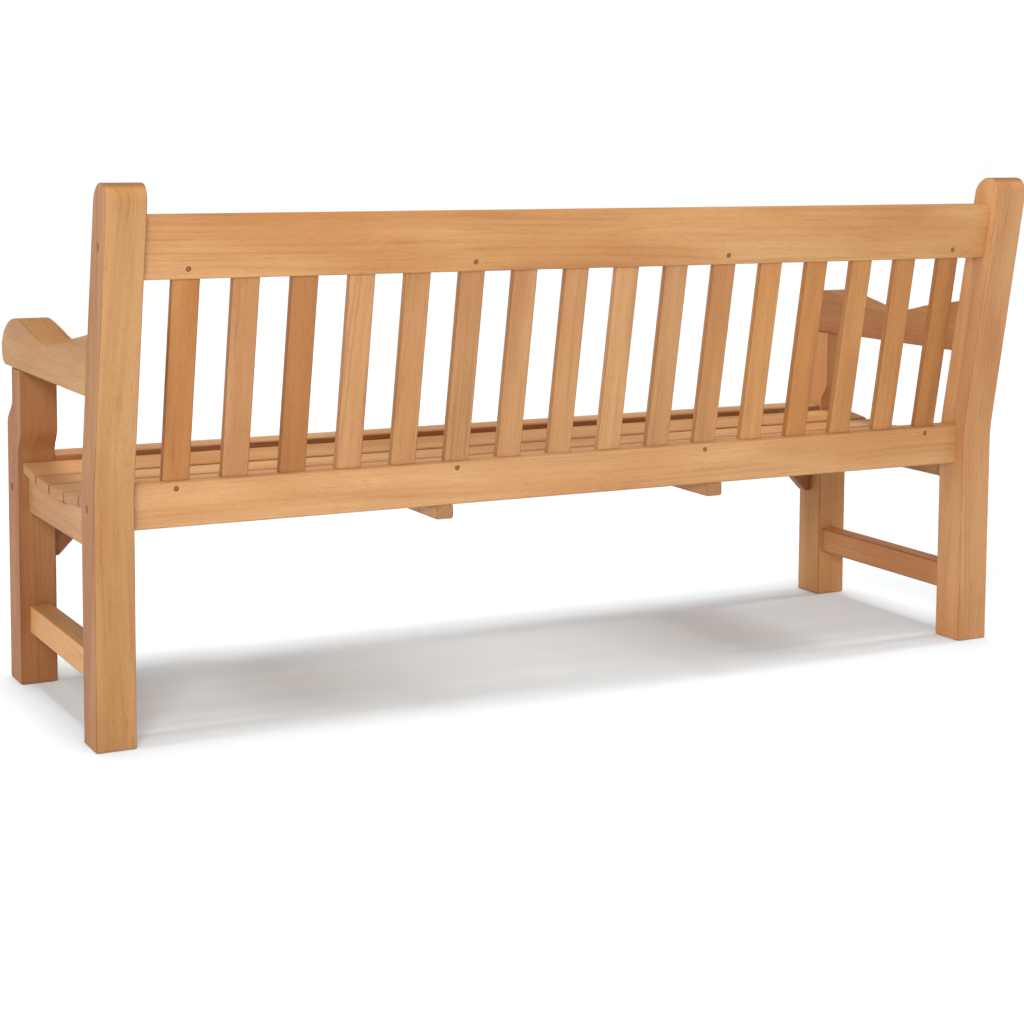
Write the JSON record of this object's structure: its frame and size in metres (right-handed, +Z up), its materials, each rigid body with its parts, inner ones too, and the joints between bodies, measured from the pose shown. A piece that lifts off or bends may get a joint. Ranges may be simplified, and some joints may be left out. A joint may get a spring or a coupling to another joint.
{
  "type": "garden bench",
  "caption": "Long hardwood garden bench with an upright slatted back, solid scrolled arms and a dished slatted seat on four square legs.",
  "frame": {"origin": "on the floor under the middle of the bench's overall box", "axes": "+Z up; +X to the sitter's left, along the bench's length; +Y towards the back, so the bench faces -Y"},
  "size_m": [1.8, 0.6626, 0.911],
  "materials": {
    "teak": "smooth sanded, bare or lightly oiled",
    "pins": "smooth sanded end grain",
    "steel": "satin"
  },
  "bodies": {
    "root": {"arm_left": "teak", "arm_right": "teak", "back_bottom_rail": "teak", "back_slat_01": "teak", "back_slat_02": "teak", "back_slat_03": "teak", "back_slat_04": "teak", "back_slat_05": "teak", "back_slat_06": "teak", "back_slat_07": "teak", "back_slat_08": "teak", "back_slat_09": "teak", "back_slat_10": "teak", "back_slat_11": "teak", "back_slat_12": "teak", "back_slat_13": "teak", "back_slat_14": "teak", "back_slat_15": "teak", "back_slat_16": "teak", "back_top_rail": "teak", "barrel_nut_front_left": "steel", "barrel_nut_front_right": "steel", "barrel_nut_low_left": "steel", "barrel_nut_low_right": "steel", "barrel_nut_top_left": "steel", "barrel_nut_top_right": "steel", "bolt_front_left": "steel", "bolt_front_right": "steel", "bolt_low_left": "steel", "bolt_low_right": "steel", "bolt_top_left": "steel", "bolt_top_right": "steel", "corner_bracket_left": "teak", "corner_bracket_right": "teak", "end_stretcher_left": "teak", "end_stretcher_right": "teak", "front_leg_left": "teak", "front_leg_right": "teak", "front_seat_rail": "teak", "rear_leg_left": "teak", "rear_leg_right": "teak", "seat_bearer_left": "teak", "seat_bearer_right": "teak", "seat_slat_1": "teak", "seat_slat_2": "teak", "seat_slat_3": "teak", "seat_slat_4": "teak", "seat_slat_5": "teak", "seat_slat_6": "teak", "side_seat_rail_left": "teak", "side_seat_rail_right": "teak", "slat_pin_low_01": "pins", "slat_pin_low_06": "pins", "slat_pin_low_11": "pins", "slat_pin_low_16": "pins", "slat_pin_top_01": "pins", "slat_pin_top_06": "pins", "slat_pin_top_11": "pins", "slat_pin_top_16": "pins"}
  },
  "joints": []
}
